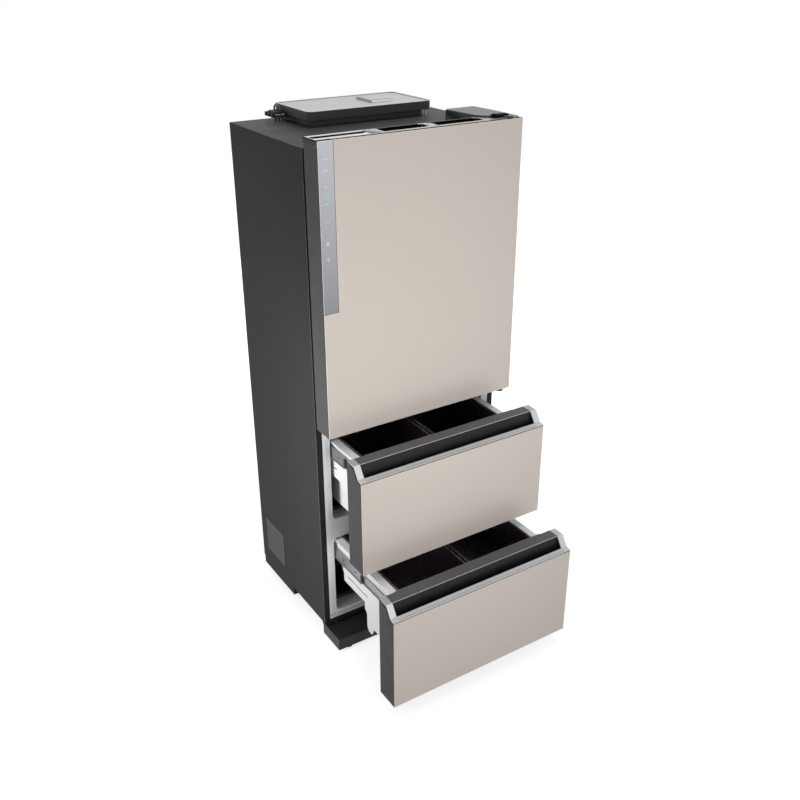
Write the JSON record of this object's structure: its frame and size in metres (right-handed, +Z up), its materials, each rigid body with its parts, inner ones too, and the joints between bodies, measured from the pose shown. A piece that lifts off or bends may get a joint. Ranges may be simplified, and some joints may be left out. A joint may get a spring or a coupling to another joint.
{
  "type": "kimchi refrigerator",
  "caption": "Upright kimchi refrigerator: side-hinged upper door above pull-out drawers on telescopic slides, with lift-out bins, rear machine room and levelling feet.",
  "frame": {"origin": "on the floor, in the middle of the whole object's footprint in the stored pose, with the drawers standing open", "axes": "+X to the right seen from the front, +Y from the front to the back, +Z up"},
  "size_m": [0.73, 0.997, 1.8456],
  "materials": {
    "case_steel": "satin",
    "galvanised_steel": "satin",
    "slide_steel": "satin",
    "hinge_steel": "satin",
    "insulation_foam": "matte",
    "liner_plastic": "satin",
    "white_plastic": "satin",
    "lamp_plastic": "satin",
    "dark_plastic": "satin",
    "black_plastic": "matte",
    "grey_plastic": "satin",
    "silver_trim": "satin",
    "control_strip": "satin",
    "face_panel": "satin",
    "shelf_glass": "gloss",
    "gasket_rubber": "matte",
    "foot_rubber": "matte",
    "compressor_paint": "satin",
    "condenser_tube": "satin",
    "evaporator_aluminium": "satin"
  },
  "bodies": {
    "cabinet": {"left_side_panel": "case_steel", "right_side_panel": "case_steel", "top_panel": "case_steel", "rear_panel": "galvanised_steel", "base_frame": "galvanised_steel", "insulation_foam": "insulation_foam", "inner_liner": "liner_plastic", "base_cover": "black_plastic", "machine_room_cover": "galvanised_steel", "compressor": "compressor_paint", "condenser": "condenser_tube", "condenser_fan_shroud": "black_plastic", "evaporator": "evaporator_aluminium", "duct_fan_motor": "black_plastic", "air_duct_cover": "white_plastic", "interior_lamp_cover": "lamp_plastic", "lower_shelf": "shelf_glass", "upper_shelf": "shelf_glass", "top_hinge_bracket": "hinge_steel", "hinge_cover": "grey_plastic", "lower_hinge_bracket": "hinge_steel", "control_box_base": "black_plastic", "control_box_lid": "black_plastic", "left_levelling_foot": "foot_rubber", "right_levelling_foot": "foot_rubber"},
    "door": {"door_casing": "grey_plastic", "door_face": "face_panel", "door_control_strip": "control_strip", "door_top_cap": "silver_trim", "door_liner": "white_plastic", "door_gasket": "gasket_rubber", "door_bin_1": "white_plastic", "door_bin_2": "white_plastic", "door_bin_3": "white_plastic"},
    "middle_drawer": {"middle_drawer_casing": "grey_plastic", "middle_drawer_face": "face_panel", "middle_handle_trim": "silver_trim", "middle_drawer_gasket": "gasket_rubber", "middle_drawer_box": "white_plastic", "middle_left_bin": "dark_plastic", "middle_right_bin": "dark_plastic", "middle_left_slide_drawer_member": "slide_steel", "middle_right_slide_drawer_member": "slide_steel"},
    "middle_slide_members": {"middle_left_slide_middle_member": "slide_steel", "middle_right_slide_middle_member": "slide_steel"},
    "lower_drawer": {"lower_drawer_casing": "grey_plastic", "lower_drawer_face": "face_panel", "lower_handle_trim": "silver_trim", "lower_drawer_gasket": "gasket_rubber", "lower_drawer_box": "white_plastic", "lower_left_bin": "dark_plastic", "lower_right_bin": "dark_plastic", "lower_left_slide_drawer_member": "slide_steel", "lower_right_slide_drawer_member": "slide_steel"},
    "lower_slide_members": {"lower_left_slide_middle_member": "slide_steel", "lower_right_slide_middle_member": "slide_steel"},
    "condenser_fan": {"condenser_fan_rotor": "black_plastic"},
    "duct_fan": {"duct_fan_rotor": "white_plastic"},
    "left_roller": {"left_rear_roller": "black_plastic"},
    "right_roller": {"right_rear_roller": "black_plastic"}
  },
  "joints": [
    {"name": "door_hinge", "type": "hinge", "parent": "cabinet", "child": "door", "pos_m": [0.343, -0.0875, 0], "axis": [0, 0, 1], "range_deg": [0, 120]},
    {"name": "middle_drawer_slide", "type": "slide", "parent": "cabinet", "child": "middle_drawer", "axis": [0, -1, 0], "range_m": [-0.197, 0.203]},
    {"name": "middle_slide_travel", "type": "slide", "parent": "cabinet", "child": "middle_slide_members", "axis": [0, -1, 0], "range_m": [-0.0985, 0.1015]},
    {"name": "lower_drawer_slide", "type": "slide", "parent": "cabinet", "child": "lower_drawer", "axis": [0, -1, 0], "range_m": [-0.381, 0.019]},
    {"name": "lower_slide_travel", "type": "slide", "parent": "cabinet", "child": "lower_slide_members", "axis": [0, -1, 0], "range_m": [-0.1905, 0.0095]},
    {"name": "condenser_fan_spin", "type": "hinge", "parent": "cabinet", "child": "condenser_fan", "pos_m": [0.05, 0.36825, 0.132], "axis": [1, 0, 0], "continuous": true},
    {"name": "duct_fan_spin", "type": "hinge", "parent": "cabinet", "child": "duct_fan", "pos_m": [0, 0.3965, 1.345], "axis": [0, 1, 0], "continuous": true},
    {"name": "left_roller_spin", "type": "hinge", "parent": "cabinet", "child": "left_roller", "pos_m": [-0.303, 0.4485, 0.019], "axis": [1, 0, 0], "continuous": true},
    {"name": "right_roller_spin", "type": "hinge", "parent": "cabinet", "child": "right_roller", "pos_m": [0.303, 0.4485, 0.019], "axis": [1, 0, 0], "continuous": true}
  ],
  "couplings": [
    {"joint": "middle_slide_travel", "follows": "middle_drawer_slide", "ratio": 0.5},
    {"joint": "lower_slide_travel", "follows": "lower_drawer_slide", "ratio": 0.5}
  ]
}
